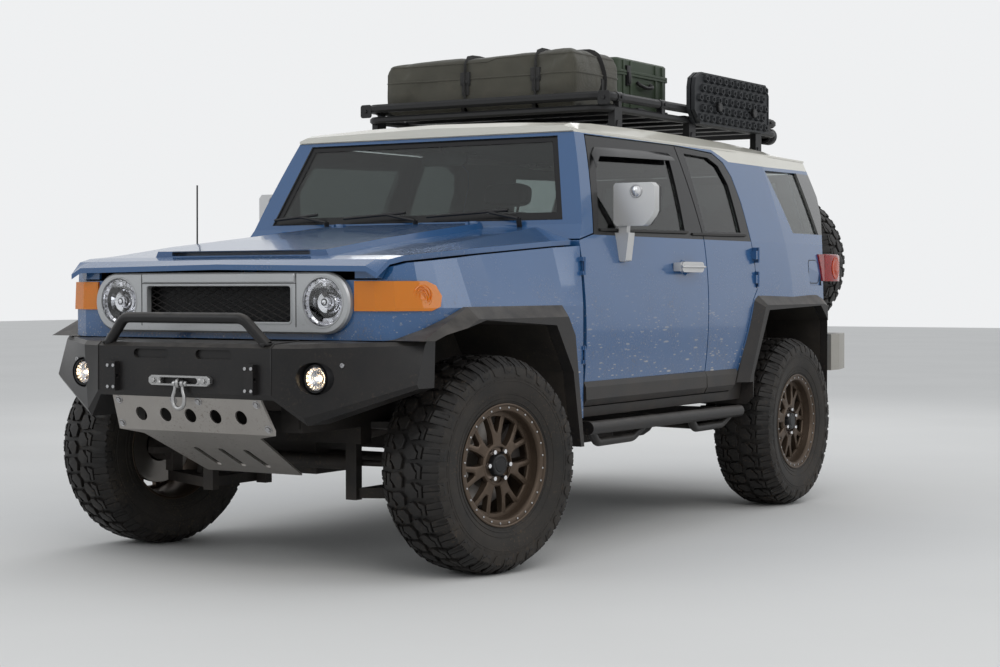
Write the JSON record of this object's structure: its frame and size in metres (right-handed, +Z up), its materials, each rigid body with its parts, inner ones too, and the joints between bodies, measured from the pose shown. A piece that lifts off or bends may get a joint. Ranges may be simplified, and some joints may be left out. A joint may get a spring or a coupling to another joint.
{
  "type": "off-road 4x4",
  "caption": "Lifted two-tone off-road wagon with mud tyres, steel bumper, sliders, swing-out spare and a loaded roof rack; doors, hood, tailgate, steering and wheels move.",
  "frame": {"origin": "on the ground below the middle of the overall box", "axes": "+Z up, -Y towards the front of the vehicle, +X towards its left side"},
  "size_m": [2.092, 4.6, 2.15],
  "materials": {
    "body_paint": "gloss",
    "roof_paint": "gloss",
    "black_plastic": "satin",
    "silver_paint": "satin",
    "black_steel": "satin",
    "chassis_steel": "matte",
    "glass": "clear",
    "lamp_glass": "clear",
    "amber_lens": "gloss",
    "red_lens": "gloss",
    "tyre": "matte",
    "rim_bronze": "satin",
    "bare_iron": "rough",
    "canvas": "matte",
    "case_green": "satin",
    "board_grey": "satin",
    "interior_grey": "matte",
    "seat_fabric": "matte"
  },
  "bodies": {
    "body": {"body_tub": "body_paint", "cargo_bag": "canvas", "dashboard": "interior_grey", "drivetrain": "bare_iron", "engine_block": "bare_iron", "exhaust": "bare_iron", "fixed_windows": "glass", "front_bumper": "black_steel", "front_fenders": "body_paint", "front_lamps": "lamp_glass", "front_suspension": "chassis_steel", "fuel_tank": "chassis_steel", "grille_mesh": "black_plastic", "grille_surround": "silver_paint", "ladder_frame": "chassis_steel", "rear_axle": "chassis_steel", "rear_bumper": "silver_paint", "rear_step": "black_steel", "recovery_boards": "board_grey", "rock_sliders": "black_steel", "roof_panel": "roof_paint", "roof_rack": "black_steel", "seats": "seat_fabric", "skid_plate": "silver_paint", "storage_case": "case_green", "tail_lamps": "red_lens", "turn_signals": "amber_lens", "wheel_flares": "black_plastic", "wheel_liners": "black_plastic", "whip_antenna": "black_plastic", "winch_fairlead": "black_steel", "wipers": "black_plastic"},
    "door_front_left": {"door_front_left": "body_paint", "window_front_left": "glass", "mirror_left": "silver_paint"},
    "door_front_right": {"door_front_right": "body_paint", "window_front_right": "glass", "mirror_right": "silver_paint"},
    "door_rear_left": {"door_rear_left": "body_paint", "window_rear_left": "glass"},
    "door_rear_right": {"door_rear_right": "body_paint", "window_rear_right": "glass"},
    "tailgate": {"tailgate": "body_paint", "tailgate_window": "glass", "spare_rim": "rim_bronze", "spare_tyre": "tyre"},
    "hood": {"hood": "body_paint"},
    "steering_wheel": {"steering_wheel": "interior_grey"},
    "knuckle_left": {"knuckle_left": "bare_iron"},
    "knuckle_right": {"knuckle_right": "bare_iron"},
    "wheel_front_left": {"tyre_front_left": "tyre", "rim_front_left": "rim_bronze"},
    "wheel_front_right": {"tyre_front_right": "tyre", "rim_front_right": "rim_bronze"},
    "wheel_rear_left": {"tyre_rear_left": "tyre", "rim_rear_left": "rim_bronze"},
    "wheel_rear_right": {"tyre_rear_right": "tyre", "rim_rear_right": "rim_bronze"}
  },
  "joints": [
    {"name": "steer_left", "type": "hinge", "parent": "body", "child": "knuckle_left", "pos_m": [0.712, -1.51, 0.41], "axis": [0, 0, 1], "range_deg": [-20, 41.5]},
    {"name": "steer_right", "type": "hinge", "parent": "body", "child": "knuckle_right", "pos_m": [-0.712, -1.51, 0.41], "axis": [0, 0, 1], "range_deg": [-20, 41.5]},
    {"name": "steering_wheel_turn", "type": "hinge", "parent": "body", "child": "steering_wheel", "pos_m": [0.37, -0.35, 1.215], "axis": [0, 0.9135, 0.4067], "range_deg": [-320, 664]},
    {"name": "wheel_front_left_spin", "type": "hinge", "parent": "knuckle_left", "child": "wheel_front_left", "pos_m": [0.82302, -1.53108, 0.41], "axis": [0.9825, -0.1865, 0], "continuous": true},
    {"name": "wheel_front_right_spin", "type": "hinge", "parent": "knuckle_right", "child": "wheel_front_right", "pos_m": [-0.82302, -1.48892, 0.41], "axis": [0.9825, -0.1865, 0], "continuous": true},
    {"name": "wheel_rear_left_spin", "type": "hinge", "parent": "body", "child": "wheel_rear_left", "pos_m": [0.825, 1.18, 0.41], "axis": [1, 0, 0], "continuous": true},
    {"name": "wheel_rear_right_spin", "type": "hinge", "parent": "body", "child": "wheel_rear_right", "pos_m": [-0.825, 1.18, 0.41], "axis": [1, 0, 0], "continuous": true},
    {"name": "door_front_left_open", "type": "hinge", "parent": "body", "child": "door_front_left", "pos_m": [0.903, -0.864, 0.9], "axis": [0, 0, -1], "range_deg": [0, 65]},
    {"name": "door_front_right_open", "type": "hinge", "parent": "body", "child": "door_front_right", "pos_m": [-0.903, -0.864, 0.9], "axis": [0, 0, 1], "range_deg": [0, 65]},
    {"name": "door_rear_left_open", "type": "hinge", "parent": "body", "child": "door_rear_left", "pos_m": [0.903, 0.834, 0.9], "axis": [0, 0, 1], "range_deg": [0, 78]},
    {"name": "door_rear_right_open", "type": "hinge", "parent": "body", "child": "door_rear_right", "pos_m": [-0.903, 0.834, 0.9], "axis": [0, 0, -1], "range_deg": [0, 78]},
    {"name": "hood_open", "type": "hinge", "parent": "body", "child": "hood", "pos_m": [0, -0.834, 1.344], "axis": [-1, 0, 0], "range_deg": [0, 50]},
    {"name": "tailgate_open", "type": "hinge", "parent": "body", "child": "tailgate", "pos_m": [-0.7, 1.948, 1], "axis": [0, 0, 1], "range_deg": [0, 90]}
  ],
  "couplings": [
    {"joint": "steer_right", "follows": "steer_left", "ratio": 1},
    {"joint": "steering_wheel_turn", "follows": "steer_left", "ratio": 16}
  ]
}
